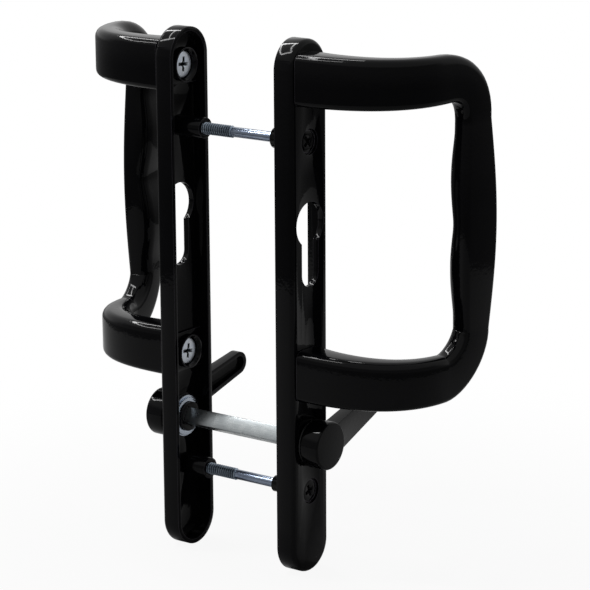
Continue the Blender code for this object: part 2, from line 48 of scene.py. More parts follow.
# Places that several pieces share, as in the CAD
door = {"thickness": 49.5 * mm, "clearance": 0.3 * mm}
place = {
    "spindleZ": 52.5 * mm,
    "lowerPullZ": 79.9 * mm,
    "upperPullZ": 195.9 * mm,
    "cylinderZ": 139.64 * mm,
    "lowerFixingZ": 32.4 * mm,
    "upperFixingZ": 171.656 * mm,
}


# Small helpers for working in edit mode
def selectNothing():
    if bpy.context.object and bpy.context.object.mode != 'OBJECT':
        bpy.ops.object.mode_set(mode='OBJECT')
    bpy.ops.object.select_all(action='DESELECT')


def makeActive(piece):
    selectNothing()
    piece.select_set(True)
    bpy.context.view_layer.objects.active = piece


def startEdit(piece, kind='FACE'):
    makeActive(piece)
    bpy.ops.object.mode_set(mode='EDIT')
    bpy.ops.mesh.select_mode(type=kind)
    bpy.ops.mesh.select_all(action='DESELECT')


def endEdit():
    bpy.ops.object.mode_set(mode='OBJECT')


def pickAll():
    bpy.ops.mesh.select_all(action='SELECT')


# Select vertices, edges or faces of the piece in edit mode by a test on each
def pick(piece, kind, test):
    form = bmesh.from_edit_mesh(piece.data)
    form.verts.index_update()
    parts = {'VERT': form.verts, 'EDGE': form.edges, 'FACE': form.faces}[kind]
    bpy.ops.mesh.select_mode(type=kind)
    bpy.ops.mesh.select_all(action='DESELECT')
    for part in parts:
        if test(part):
            part.select_set(True)
    form.select_flush_mode()
    bmesh.update_edit_mesh(piece.data)


def applyAll(piece):
    makeActive(piece)
    for modifier in list(piece.modifiers):
        bpy.ops.object.modifier_apply(modifier=modifier.name)


def applyPlace(piece):
    makeActive(piece)
    bpy.ops.object.transform_apply(location=True, rotation=True, scale=True)


def boolean(piece, tool, operation):
    change = piece.modifiers.new(tool.name, 'BOOLEAN')
    change.operation = operation
    change.solver = 'EXACT'
    change.object = tool
    applyAll(piece)
    bpy.data.objects.remove(tool)


def join(piece, tool):
    boolean(piece, tool, 'UNION')


def cut(piece, tool):
    boolean(piece, tool, 'DIFFERENCE')


def smooth(piece, angle=35):
    makeActive(piece)
    bpy.ops.object.shade_smooth_by_angle(angle=math.radians(angle))


def faceOutwards():
    pickAll()
    bpy.ops.mesh.normals_make_consistent(inside=False)


def tidyNormals(piece):
    startEdit(piece, 'VERT')
    pickAll()
    bpy.ops.mesh.remove_doubles(threshold=mergeWithin)
    faceOutwards()
    endEdit()


# Round the edges that are sharper than an angle
def roundEdges(piece, width, angle=50, segments=2):
    change = piece.modifiers.new("soften", 'BEVEL')
    change.width = width
    change.segments = segments
    change.limit_method = 'ANGLE'
    change.angle_limit = math.radians(angle)
    applyAll(piece)


def softEdges(piece, width, angle=50):
    tidyNormals(piece)
    roundEdges(piece, width, angle)


# Round rod along X from start to end
def addRod(name, start, end, radius, z=0.0, y=0.0, vertices=sides["medium"], endRadius=None):
    selectNothing()
    turn = (0, math.radians(90), 0)
    middle = ((start + end) / 2, y, z)
    if endRadius is None:
        bpy.ops.mesh.primitive_cylinder_add(vertices=vertices, radius=radius, depth=end - start,
                                            location=middle, rotation=turn)
    else:
        bpy.ops.mesh.primitive_cone_add(vertices=vertices, radius1=radius, radius2=endRadius,
                                        depth=end - start, location=middle, rotation=turn)
    rod = bpy.context.object
    rod.name = name
    applyPlace(rod)
    return rod


# Mirror a copy of a piece to the door's other face
def copyInside(piece, name):
    makeActive(piece)
    bpy.ops.object.duplicate()
    twin = bpy.context.object
    twin.name = name
    twin.data.name = name
    bpy.ops.object.mode_set(mode='EDIT')
    pickAll()
    bpy.ops.transform.resize(value=(-1, 1, 1), center_override=(-door["thickness"] / 2, 0, 0))
    faceOutwards()
    endEdit()
    return twin


def finishPiece(piece, material, body, node):
    piece.data.materials.clear()
    piece.data.materials.append(material)
    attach(piece, body)
    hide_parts(node)


def fromHex(code):
    parts = [int(code[i:i + 2], 16) / 255 for i in (1, 3, 5)]
    return tuple(c / 12.92 if c <= 0.04045 else ((c + 0.055) / 1.055) ** 2.4 for c in parts) + (1.0,)


def addNode(tree, kind, settings=None, values=None, links=None):
    node = tree.nodes.new(kind)
    for name, value in (settings or {}).items():
        setattr(node, name, value)
    for name, value in (values or {}).items():
        node.inputs[name].default_value = value
    for name, source in (links or {}).items():
        tree.links.new(source, node.inputs[name])
    return node


def newMaterial(name):
    material = bpy.data.materials.new(name)
    material.use_nodes = True
    tree = material.node_tree
    tree.nodes.clear()
    surface = addNode(tree, 'ShaderNodeBsdfPrincipled')
    addNode(tree, 'ShaderNodeOutputMaterial', links={"Surface": surface.outputs[0]})
    return material, tree, surface


# Settings that several nodes share; edge and recess shading looks only at the piece itself
ownShade = {"samples": 8, "only_local": True}
asColour = {"data_type": 'RGBA'}
smoothly = {"interpolation_type": 'SMOOTHSTEP'}
white = (1, 1, 1, 1)


# Zinc die casting under gloss black powder coat: deep black, wet gloss, faint orange peel, and a
# painted highlight that turns its sharp edges lighter grey
blackCoat = {"colour": "#040405", "lift": "#08080a", "ior": 1.2, "glossLow": 0.04, "glossHigh": 0.10,
             "smear": 14 * mm, "smearLow": 0.35, "smearHigh": 0.7,
             "peel": 1.6 * mm, "peelDepth": 0.06 * mm, "peelStrength": 0.35,
             "nib": 0.45 * mm, "nibDepth": 0.01 * mm, "nibStrength": 0.12,
             # painted highlight on sharp edges: how far it looks, where it starts and ends, and its grey
             "edge": 0.5 * mm, "edgeSharp": 0.55, "edgeBlunt": 0.8, "edgeHighlightTone": "#37353a"}


def makeBlackCoat():
    material, tree, surface = newMaterial("gloss black powder coat")
    where = addNode(tree, 'ShaderNodeTexCoord').outputs["Object"]
    smear = addNode(tree, 'ShaderNodeTexNoise', values={"Scale": 1 / blackCoat["smear"], "Detail": 3.0},
                    links={"Vector": where})
    tint = addNode(tree, 'ShaderNodeMix', asColour,
                   {"A": fromHex(blackCoat["colour"]), "B": fromHex(blackCoat["lift"])},
                   {"Factor": smear.outputs["Fac"]})
    # painted highlight: the colour turns lighter grey along sharp edges
    inner = addNode(tree, 'ShaderNodeAmbientOcclusion', {**ownShade, "inside": True},
                    {"Distance": blackCoat["edge"]})
    thin = addNode(tree, 'ShaderNodeMapRange',
                   values={"From Min": blackCoat["edgeSharp"], "From Max": blackCoat["edgeBlunt"],
                           "To Min": 1.0, "To Max": 0.0}, links={"Value": inner.outputs["AO"]})
    colour = addNode(tree, 'ShaderNodeMix', asColour, {"B": fromHex(blackCoat["edgeHighlightTone"])},
                     {"Factor": thin.outputs[0], "A": tint.outputs["Result"]})
    gloss = addNode(tree, 'ShaderNodeMapRange',
                    values={"From Min": blackCoat["smearLow"], "From Max": blackCoat["smearHigh"],
                            "To Min": blackCoat["glossLow"], "To Max": blackCoat["glossHigh"]},
                    links={"Value": smear.outputs["Fac"]})
    peel = addNode(tree, 'ShaderNodeTexNoise', values={"Scale": 1 / blackCoat["peel"], "Detail": 1.0},
                   links={"Vector": where})
    nib = addNode(tree, 'ShaderNodeTexNoise', values={"Scale": 1 / blackCoat["nib"], "Detail": 0.0},
                  links={"Vector": where})
    waves = addNode(tree, 'ShaderNodeBump',
                    values={"Strength": blackCoat["peelStrength"], "Distance": blackCoat["peelDepth"]},
                    links={"Height": peel.outputs["Fac"]})
    specks = addNode(tree, 'ShaderNodeBump',
                     values={"Strength": blackCoat["nibStrength"], "Distance": blackCoat["nibDepth"]},
                     links={"Height": nib.outputs["Fac"], "Normal": waves.outputs[0]})
    surface.inputs["IOR"].default_value = blackCoat["ior"]
    tree.links.new(colour.outputs["Result"], surface.inputs["Base Color"])
    tree.links.new(gloss.outputs[0], surface.inputs["Roughness"])
    tree.links.new(specks.outputs[0], surface.inputs["Normal"])
    return material


# Bright zinc plate on steel: blue-white metal, smooth, with faint lines along the way it was drawn,
# dark pits, and painted shade: darker in its recesses and, where asked, along sharp edges. Real drawing
# lines are about 0.02 mm apart; they are drawn ten times as coarse so that they show
zinc = {"line": 0.2 * mm, "lineDepth": 0.01 * mm, "cloud": 5 * mm, "cloudLow": 0.3, "cloudHigh": 0.7,
        "darkBelow": 0.7, "lightAbove": 1.25, "duller": 0.06, "shinier": 0.04,
        "pit": 0.9 * mm, "pitMiddle": 0.06, "pitRim": 0.14,
        # tone that real pits take, and painted shade in recesses and along sharp edges
        "recess": 2.0 * mm, "recessDeep": 0.62, "recessOpen": 0.92, "pitAndShadeTone": "#0b1114",
        "corner": 0.45 * mm, "cornerSharp": 0.6, "cornerBlunt": 0.9}


def makeZinc(name, light, dark, roughness, pitted, stretch=1, waves=0.15, edgeShade=0.0):
    material, tree, surface = newMaterial(name)
    where = addNode(tree, 'ShaderNodeTexCoord').outputs["Object"]
    across = 1 / zinc["line"]
    drawn = addNode(tree, 'ShaderNodeMapping', values={"Scale": (across / stretch, across, across)},
                    links={"Vector": where})
    lines = addNode(tree, 'ShaderNodeTexNoise', values={"Scale": 1.0, "Detail": 3.0, "Roughness": 0.6},
                    links={"Vector": drawn.outputs[0]})
    clouds = addNode(tree, 'ShaderNodeTexNoise', values={"Scale": 1 / zinc["cloud"], "Detail": 3.0},
                     links={"Vector": where})
    mixed = addNode(tree, 'ShaderNodeMath', {"operation": 'ADD'},
                    links={0: lines.outputs["Fac"], 1: clouds.outputs["Fac"]})
    ramp = addNode(tree, 'ShaderNodeMapRange',
                   values={"From Min": zinc["darkBelow"], "From Max": zinc["lightAbove"]},
                   links={"Value": mixed.outputs[0]})
    tint = addNode(tree, 'ShaderNodeMix', asColour, {"A": fromHex(dark), "B": fromHex(light)},
                   {"Factor": ramp.outputs[0]})
    pits = addNode(tree, 'ShaderNodeTexVoronoi', values={"Scale": 1 / zinc["pit"]},
                   links={"Vector": where})
    spots = addNode(tree, 'ShaderNodeMapRange',
                    values={"From Min": zinc["pitMiddle"], "From Max": zinc["pitRim"],
                            "To Min": 1 - pitted, "To Max": 1.0},
                    links={"Value": pits.outputs["Distance"]})
    # painted shade: the colour darkens towards a near-black tone deep in recesses
    hollow = addNode(tree, 'ShaderNodeAmbientOcclusion', ownShade, {"Distance": zinc["recess"]})
    recessShade = addNode(tree, 'ShaderNodeMapRange',
                    values={"From Min": zinc["recessDeep"], "From Max": zinc["recessOpen"]},
                    links={"Value": hollow.outputs["AO"]})
    # painted shade: the colour darkens along sharp edges, by the share given in the call
    inner = addNode(tree, 'ShaderNodeAmbientOcclusion', {**ownShade, "inside": True},
                    {"Distance": zinc["corner"]})
    edgeShadeMask = addNode(tree, 'ShaderNodeMapRange',
                   values={"From Min": zinc["cornerSharp"], "From Max": zinc["cornerBlunt"],
                           "To Min": 1 - edgeShade, "To Max": 1.0}, links={"Value": inner.outputs["AO"]})
    pitsAndEdgeShade = addNode(tree, 'ShaderNodeMath', {"operation": 'MULTIPLY'},
                    links={0: edgeShadeMask.outputs[0], 1: spots.outputs[0]})
    pitsAndShade = addNode(tree, 'ShaderNodeMath', {"operation": 'MULTIPLY'},
                    links={0: recessShade.outputs[0], 1: pitsAndEdgeShade.outputs[0]})
    # pits darken, and recesses and sharp edges take painted shade
    colour = addNode(tree, 'ShaderNodeMix', asColour, {"A": fromHex(zinc["pitAndShadeTone"])},
                     {"Factor": pitsAndShade.outputs[0], "B": tint.outputs["Result"]})
    rough = addNode(tree, 'ShaderNodeMapRange',
                    values={"From Min": zinc["cloudLow"], "From Max": zinc["cloudHigh"],
                            "To Min": roughness + zinc["duller"], "To Max": roughness - zinc["shinier"]},
                    links={"Value": clouds.outputs["Fac"]})
    bump = addNode(tree, 'ShaderNodeBump', values={"Strength": waves, "Distance": zinc["lineDepth"]},
                   links={"Height": lines.outputs["Fac"]})
    surface.inputs["Metallic"].default_value = 1.0
    tree.links.new(colour.outputs["Result"], surface.inputs["Base Color"])
    tree.links.new(rough.outputs[0], surface.inputs["Roughness"])
    tree.links.new(bump.outputs[0], surface.inputs["Normal"])
    return material


# Glass-filled nylon, moulded: dull black with a fine grain, drawn coarse so that it shows
bushNylon = {"dark": "#101011", "light": "#1b1b1d", "grain": 0.3 * mm, "grainDepth": 0.02 * mm,
             "grainStrength": 0.3, "roughness": 0.5}


def makeNylon():
    material, tree, surface = newMaterial("moulded black nylon")
    where = addNode(tree, 'ShaderNodeTexCoord').outputs["Object"]
    grain = addNode(tree, 'ShaderNodeTexNoise', values={"Scale": 1 / bushNylon["grain"], "Detail": 2.0},
                    links={"Vector": where})
    tint = addNode(tree, 'ShaderNodeMix', asColour,
                   {"A": fromHex(bushNylon["dark"]), "B": fromHex(bushNylon["light"])},
                   {"Factor": grain.outputs["Fac"]})
    bump = addNode(tree, 'ShaderNodeBump',
                   values={"Strength": bushNylon["grainStrength"], "Distance": bushNylon["grainDepth"]},
                   links={"Height": grain.outputs["Fac"]})
    surface.inputs["Roughness"].default_value = bushNylon["roughness"]
    tree.links.new(tint.outputs["Result"], surface.inputs["Base Color"])
    tree.links.new(bump.outputs[0], surface.inputs["Normal"])
    return material


coat = makeBlackCoat()
screwZinc = makeZinc("zinc plated rolled steel", "#98a3b4", "#727d92", roughness=0.2, pitted=0.2,
                     stretch=60, waves=0.0)
headZinc = makeZinc("zinc plated headed steel", "#f6faff", "#e2ebf8", roughness=0.5, pitted=0.1)
threadZinc = makeZinc("zinc plated rolled thread", "#a9b6c4", "#6f7c8c", roughness=0.3, pitted=0.5,
                      stretch=60)
# the bar's sharp edges take painted shade
barZinc = makeZinc("zinc plated drawn bar", "#c6cbcc", "#9da3a6", roughness=0.28, pitted=0.85,
                   stretch=30, waves=0.1, edgeShade=0.85)
springZinc = makeZinc("zinc plated spring steel", "#cbd4e0", "#b4becc", roughness=0.25, pitted=0.1)
nylon = makeNylon()
print("materials made")


camera = {"azimuth": 36.016, "elevation": 14.357, "roll": -0.335, "distance": 984.5 * mm,
          "lens": 155.475, "sensor": 36.0, "nearest": 0.05, "target": (0.91 * mm, 0, 110.7 * mm)}


def makeCamera():
    view = bpy.data.cameras.new("camera")
    view.lens = camera["lens"]
    view.sensor_width = camera["sensor"]
    view.clip_start = camera["nearest"]
    view.dof.use_dof = False
    eye = bpy.data.objects.new("camera", view)
    scene.collection.objects.link(eye)
    turn, rise = math.radians(camera["azimuth"]), math.radians(camera["elevation"])
    back = Vector((math.sin(turn) * math.cos(rise), -math.cos(turn) * math.cos(rise), math.sin(rise)))
    eye.rotation_mode = 'QUATERNION'
    eye.location = Vector(camera["target"]) + back * camera["distance"]
    level = (-back).to_track_quat('-Z', 'Y')
    eye.rotation_quaternion = level @ Quaternion((0, 0, 1), math.radians(camera["roll"]))
    scene.camera = eye


# The key light is a window of four bright bars up on the left: its outline shows in the gloss
keyLight = {"azimuth": -88, "elevation": 50, "distance": 1.6, "wide": 1.1, "tall": 0.5, "bar": 0.05,
            "sideBar": 0.12, "sideTall": 0.9, "radiance": 28, "middle": (-24.75 * mm, 15 * mm, 150 * mm)}


def makeLamps():
    turn, rise = math.radians(keyLight["azimuth"]), math.radians(keyLight["elevation"])
    out = Vector((math.sin(turn) * math.cos(rise), -math.cos(turn) * math.cos(rise), math.sin(rise)))
    middle = Vector(keyLight["middle"])
    facing = (-out).to_track_quat('-Z', 'Y')
    wide, tall, bar = keyLight["wide"], keyLight["tall"], keyLight["bar"]
    side, sideTall = keyLight["sideBar"], keyLight["sideTall"]
    sideUp = (sideTall - tall) / 2
    bars = [("top", (0, tall / 2), (wide, bar)), ("bottom", (0, -tall / 2), (wide, bar)),
            ("left", (-wide / 2, sideUp), (side, sideTall)),
            ("right", (wide / 2, sideUp), (side, sideTall))]
    for title, (across, up), size in bars:
        light = bpy.data.lights.new(title + " bar", 'AREA')
        light.shape = 'RECTANGLE'
        light.size, light.size_y = size
        light.energy = keyLight["radiance"] * math.pi * size[0] * size[1]
        holder = bpy.data.objects.new(title + " bar", light)
        scene.collection.objects.link(holder)
        holder.location = middle + out * keyLight["distance"] + facing @ Vector((across, up, 0))
        holder.rotation_euler = facing.to_euler()


# White to the eye. In reflections it is bright behind the door set and high up, dimmer on the
# camera's side and dimmer still below. Each pair says where one passes into the next: a height, or
# for the backdrop how nearly a ray runs straight away from the camera's side
room = {"low": 0.15, "dim": 0.34, "bright": 0.85, "fill": 0.4, "away": (-0.35, 0.80, 0.50),
        "horizon": (-0.05, 0.12), "backdrop": (0.05, 0.45), "ceiling": (0.30, 0.55),
        "ground": (-0.2, 0.0)}


def makeWorld():
    world = bpy.data.worlds.new("studio")
    scene.world = world
    world.use_nodes = True
    tree = world.node_tree
    tree.nodes.clear()
    path = addNode(tree, 'ShaderNodeLightPath')
    way = addNode(tree, 'ShaderNodeTexCoord')
    toBackdrop = addNode(tree, 'ShaderNodeVectorMath', {"operation": 'DOT_PRODUCT'},
                         {1: Vector(room["away"]).normalized()}, {0: way.outputs["Generated"]})
    split = addNode(tree, 'ShaderNodeSeparateXYZ', links={"Vector": way.outputs["Generated"]})
    above, behind, high = [
        addNode(tree, 'ShaderNodeMapRange', smoothly, {"From Min": first, "From Max": last},
                {"Value": source})
        for (first, last), source in ((room["horizon"], split.outputs["Z"]),
                                      (room["backdrop"], toBackdrop.outputs["Value"]),
                                      (room["ceiling"], split.outputs["Z"]))]
    either = addNode(tree, 'ShaderNodeMath', {"operation": 'MAXIMUM'},
                     links={0: behind.outputs[0], 1: high.outputs[0]})
    both = addNode(tree, 'ShaderNodeMath', {"operation": 'MULTIPLY'},
                   links={0: above.outputs[0], 1: either.outputs[0]})
    level = addNode(tree, 'ShaderNodeMapRange', smoothly,
                    {"From Min": room["ground"][0], "From Max": room["ground"][1],
                     "To Min": room["low"], "To Max": room["dim"]}, {"Value": split.outputs["Z"]})
    mirrored = addNode(tree, 'ShaderNodeMapRange', values={"To Max": room["bright"]},
                       links={"Value": both.outputs[0], "To Min": level.outputs[0]})
    seen = addNode(tree, 'ShaderNodeMath', {"operation": 'MAXIMUM'},
                   links={0: path.outputs["Is Camera Ray"], 1: mirrored.outputs[0]})
    glossy = addNode(tree, 'ShaderNodeMath', {"operation": 'MAXIMUM'},
                     links={0: path.outputs["Is Camera Ray"], 1: path.outputs["Is Glossy Ray"]})
    shown = addNode(tree, 'ShaderNodeMath', {"operation": 'MAXIMUM'},
                    links={0: glossy.outputs[0], 1: path.outputs["Is Transmission Ray"]})
    fill = addNode(tree, 'ShaderNodeBackground', values={"Color": white, "Strength": room["fill"]})
    backdrop = addNode(tree, 'ShaderNodeBackground', values={"Color": white},
                       links={"Strength": seen.outputs[0]})
    mixed = addNode(tree, 'ShaderNodeMixShader', links={0: shown.outputs[0], 1: fill.outputs[0],
                                                        2: backdrop.outputs[0]})
    addNode(tree, 'ShaderNodeOutputWorld', links={"Surface": mixed.outputs[0]})


# Pale floor just under the plates' feet: nearly all white to the eye, so that only a faint shadow
# stays on it, and fading to white outwards
floor = {"radius": 0.5, "sides": 96, "height": -1.0 * mm, "colour": "#b8b8b8", "roughness": 0.9,
         "white": 0.92, "near": 0.08, "far": 0.30}


def makeFloor():
    selectNothing()
    bpy.ops.mesh.primitive_circle_add(vertices=floor["sides"], radius=floor["radius"],
                                      fill_type='NGON', location=(0, 0, floor["height"]))
    plane = bpy.context.object
    plane.name = "floor"
    applyPlace(plane)
    material, tree, surface = newMaterial("pale floor")
    surface.inputs["Base Color"].default_value = fromHex(floor["colour"])
    surface.inputs["Roughness"].default_value = floor["roughness"]
    surface.inputs["Specular IOR Level"].default_value = 0.0
    where = addNode(tree, 'ShaderNodeTexCoord').outputs["Object"]
    far = addNode(tree, 'ShaderNodeVectorMath', {"operation": 'LENGTH'}, links={0: where})
    fade = addNode(tree, 'ShaderNodeMapRange', smoothly,
                   {"From Min": floor["near"], "From Max": floor["far"], "To Min": floor["white"],
                    "To Max": 1.0}, {"Value": far.outputs["Value"]})
    path = addNode(tree, 'ShaderNodeLightPath')
    seen = addNode(tree, 'ShaderNodeMath', {"operation": 'MAXIMUM'},
                   links={0: path.outputs["Is Camera Ray"], 1: path.outputs["Is Transmission Ray"]})
    share = addNode(tree, 'ShaderNodeMath', {"operation": 'MULTIPLY'},
                    links={0: seen.outputs[0], 1: fade.outputs[0]})
    glow = addNode(tree, 'ShaderNodeEmission', values={"Color": white, "Strength": 1.0})
    both = addNode(tree, 'ShaderNodeMixShader', links={0: share.outputs[0], 1: surface.outputs[0],
                                                       2: glow.outputs[0]})
    output = next(node for node in tree.nodes if node.type == 'OUTPUT_MATERIAL')
    tree.links.new(both.outputs[0], output.inputs["Surface"])
    plane.data.materials.append(material)


scene.view_settings.view_transform = 'Standard'
makeCamera()
makeLamps()
makeWorld()
makeFloor()
print("camera, lamps and floor set")


# Straight-sided outline with round ends, from start to end along X: a cylinder drawn out upwards
def addSlot(name, width, low, high, start, end, vertices=sides["large"]):
    selectNothing()
    turn = Matrix.Rotation(math.radians(90), 4, 'Y') @ Matrix.Rotation(math.pi / vertices, 4, 'Z')
    bpy.ops.mesh.primitive_cylinder_add(vertices=vertices, radius=width / 2, depth=end - start,
                                        location=((start + end) / 2, 0, low + width / 2),
                                        rotation=turn.to_euler())
    slot = bpy.context.object
    slot.name = name
    applyPlace(slot)
    startEdit(slot)
    pick(slot, 'VERT', lambda vert: vert.co.z > low + width / 2)
    bpy.ops.transform.translate(value=(0, 0, high - low - width))
    endEdit()
    return slot


def addBlock(name, low, high):
    selectNothing()
    low, high = Vector(low), Vector(high)
    bpy.ops.mesh.primitive_cube_add(size=1, location=(low + high) / 2)
    block = bpy.context.object
    block.name = name
    block.scale = high - low
    applyPlace(block)
    return block


backplate = {
    "width": 23.2 * mm, "foot": -0.9 * mm, "top": 210.9 * mm, "depth": 8.2 * mm, "wall": 1.8 * mm,
    "floor": 2.4 * mm, "frontEdge": 1.9 * mm, "smallEdge": 0.22 * mm, "run": 2 * mm, "overlap": 0.1 * mm,
    "cylinderRadius": 8.8 * mm, "legWidth": 10.7 * mm, "legDrop": 19.3 * mm,
    "padHeight": 15.8 * mm, "padSink": 4.0 * mm, "padBoss": 6.8 * mm, "padBossSink": 1.0 * mm,
    "recessRadius": 5.5 * mm, "recessEnd": 5.4 * mm, "lip": 0.7 * mm,
    "pullHole": 2.8 * mm, "neckBoss": 9.2 * mm, "neckBossTop": 5.3 * mm, "neckHole": 7.6 * mm,
    "boss": 4.15 * mm, "bossReach": 7.7 * mm, "thinReach": 1.5 * mm, "neck": 3.3 * mm,
    "neckReach": 8.9 * mm, "neckRoot": 0.3 * mm,
    "screwHole": 2.7 * mm, "mouth": 5.1 * mm, "mouthDepth": 0.9 * mm, "tapDepth": 4.0 * mm,
}


def makeBackplate(name, tapped):
    size = backplate
    run, depth = size["run"], size["depth"]
    plate = addSlot(name, size["width"], size["foot"], size["top"], 0, depth)
    startEdit(plate)
    pick(plate, 'EDGE', lambda edge: all(abs(v.co.x - depth) < sameLevel for v in edge.verts))
    bpy.ops.mesh.bevel(offset=size["frontEdge"], segments=6, affect='EDGES')
    endEdit()
    room = size["width"] - 2 * size["wall"]
    hollow = addSlot("hollow", room, size["foot"] + size["wall"], size["top"] - size["wall"],
                     -run, depth - size["floor"])
    cut(plate, hollow)
    side, back = room / 2 + size["wall"] / 2, depth - size["floor"] / 2
    for height in (place["lowerPullZ"], place["upperPullZ"]):
        half = size["padHeight"] / 2
        low, high = (size["padSink"], -side, height - half), (back, side, height + half)
        pad = addBlock("pad", low, high)
        if height == place["upperPullZ"]:  # this one fills the arch
            join(pad, addSlot("arch", 2 * side, height - size["width"], size["top"] - size["wall"] / 2,
                              size["padSink"], back))
            cut(pad, addBlock("below", (-run, -size["width"], height - 2 * size["width"]),
                              (depth, size["width"], height - half)))
        join(plate, pad)
        sink, lip = size["padBossSink"], size["lip"]
        join(plate, addRod("padBoss", sink, back, size["padBoss"], height, vertices=sides["large"]))
        cut(plate, addRod("recess", -run, size["recessEnd"], size["recessRadius"], height,
                          vertices=sides["large"]))
        cut(plate, addRod("mouth", sink - lip, sink + lip, size["recessRadius"] + 2 * lip, height,
                          vertices=sides["large"], endRadius=size["recessRadius"]))
        cut(plate, addRod("hole", 0, depth + run, size["pullHole"], height, vertices=sides["pin"]))
    join(plate, addRod("neckBoss", size["neckBossTop"], back, size["neckBoss"], place["spindleZ"]))
    cut(plate, addRod("neckHole", -run, depth + run, size["neckHole"], place["spindleZ"]))
    leg = addSlot("leg", size["legWidth"], place["cylinderZ"] - size["legDrop"] - size["legWidth"] / 2,
                  place["cylinderZ"] + size["legWidth"] / 2, -run, depth + run, sides["boss"])
    cut(plate, leg)
    cut(plate, addRod("round", -run, depth + run, size["cylinderRadius"], place["cylinderZ"]))
    for height in (place["lowerFixingZ"], place["upperFixingZ"]):
        thin = height == place["lowerFixingZ"] and not tapped
        reach = size["thinReach"] if thin else size["bossReach"]
        join(plate, addRod("boss", -reach, back, size["boss"], height, vertices=sides["boss"]))
        if thin:
            join(plate, addRod("neck", -size["neckReach"], size["neckRoot"], size["neck"], height,
                               vertices=sides["hole"]))
        if tapped:
            cut(plate, addRod("tap", -size["bossReach"] - run, size["tapDepth"], size["screwHole"],
                              height, vertices=sides["hole"]))
            continue
        cut(plate, addRod("hole", -size["neckReach"] - run, depth + run, size["screwHole"], height,
                          vertices=sides["hole"]))
        rim = depth - size["mouthDepth"]
        throat = rim - (size["mouth"] - size["screwHole"])
        cut(plate, addRod("countersink", throat, rim, size["screwHole"], height,
                          endRadius=size["mouth"]))
        cut(plate, addRod("mouth", rim - size["overlap"], depth + run, size["mouth"], height))
    softEdges(plate, size["smallEdge"])
    smooth(plate)
    return plate


outsidePlate = makeBackplate("outsideBackplate", False)
tappedPlate = makeBackplate("tappedBackplate", True)
insidePlate = copyInside(tappedPlate, "insideBackplate")
bpy.data.objects.remove(tappedPlate)
finishPiece(outsidePlate, coat, "door_set", "outside_backplate")
finishPiece(insidePlate, coat, "door_set", "inside_backplate")
print("back plates made")


pull = {
    "rootWidth": 20.0 * mm, "rootHeight": 20.0 * mm, "armHeight": 18.3 * mm, "elbowX": 47.7 * mm,
    "elbowY": -5.8 * mm, "reach": 52.8 * mm, "cornerY": 22.6 * mm, "cornerRadius": 17.0 * mm,
    "armRise": 0.7 * mm, "rootInset": 0.4 * mm, "armSpread": 0.6 * mm, "gripThickness": 9.8 * mm,
    "gripEndWidth": 14.2 * mm, "gripMiddleWidth": 18.4 * mm, "bow": 2.6 * mm, "frontBow": 1.1 * mm,
    "topRound": 3.4 * mm, "frontRound": 2.3 * mm, "backRound": 8.8 * mm, "taperPower": 0.8,
    "rootBlend": 0.25, "upperPower": 2.35, "lowerPower": 1.7, "nearHalf": 0.49,
    "fingerPitch": 36.08 * mm, "fingerDepth": 2.1 * mm, "fingerSoftness": 0.22, "middleShift": 0.4 * mm,
    "armSteps": 18, "cornerSteps": 14, "gripSteps": 44, "frontSegments": 5, "backSegments": 8,
}


# Middle of the arm in plan and the way it runs there, from the plate to the corner
def armPlace(share):
    root = Vector((backplate["depth"] + door["clearance"], 0))
    elbow = Vector((pull["elbowX"], pull["elbowY"]))
    end = Vector((pull["reach"], pull["cornerY"]))
    rest = 1 - share
    point = rest * rest * root + 2 * rest * share * elbow + share * share * end
    along = (rest * (elbow - root) + share * (end - elbow)).normalized()
    straight = max(0, 1 - share / pull["rootBlend"])
    return point, along.lerp(Vector((1, 0)), straight).normalized()


# Places along half the pull: middle, way to the front, way outwards, thickness, width;
# the corner's power is 2 for a quarter circle and more for a squarer one
def armPlaces(screwZ, outwards, power):
    places = []
    for index in range(pull["armSteps"] + 1):
        share = index / pull["armSteps"]
        point, along = armPlace(share)
        thin = share ** pull["taperPower"]
        thickness = pull["rootWidth"] + (pull["gripThickness"] - pull["rootWidth"]) * thin
        tall = pull["rootHeight"] + (pull["armHeight"] - pull["rootHeight"]) * share
        front = Vector((along.y, -along.x, 0))
        height = screwZ + pull["armRise"] + outwards * (pull["armSpread"] * share - pull["rootInset"])
        middle = Vector((point.x, point.y, height))
        places.append((middle, front, Vector((0, 0, outwards)), thickness, tall))
    middle, front, up, thickness, tall = places[-1]
    hub = middle - up * pull["cornerRadius"]
    side = Vector((along.x, along.y, 0))
    for index in range(1, pull["cornerSteps"] + 1):
        share = index / pull["cornerSteps"]
        rise = max(0, math.cos(share * math.pi / 2)) ** (2 / power)
        drift = math.sin(share * math.pi / 2) ** (2 / power)
        away = (up * rise ** (power - 1) + side * drift ** (power - 1)).normalized()
        width = tall + (pull["gripEndWidth"] - tall) * share
        middle = hub + (up * rise + side * drift) * pull["cornerRadius"]
        places.append((middle, front, away, thickness, width))
    return places


def gripPlaces(top, foot, middle):
    places = []
    soft = pull["fingerSoftness"]
    for index in range(1, pull["gripSteps"]):
        share = index / pull["gripSteps"]
        swell = math.sin(math.pi * share)
        width = pull["gripEndWidth"] + (pull["gripMiddleWidth"] - pull["gripEndWidth"]) * swell
        out = pull["bow"] * swell - (pull["gripMiddleWidth"] - pull["gripEndWidth"]) * swell / 2
        centre = top[0].lerp(foot[0], share) + top[2] * out + top[1] * pull["frontBow"] * swell
        turn = (centre.z - middle) / pull["fingerPitch"]
        wave = math.sqrt(math.sin(math.pi * turn) ** 2 + soft ** 2) - soft
        extra = pull["fingerDepth"] * wave / (math.sqrt(1 + soft ** 2) - soft) if abs(turn) < 1 else 0
        thickness = pull["gripThickness"] + extra
        places.append((centre - top[1] * extra / 2, top[1], top[2], thickness, width))
    return places


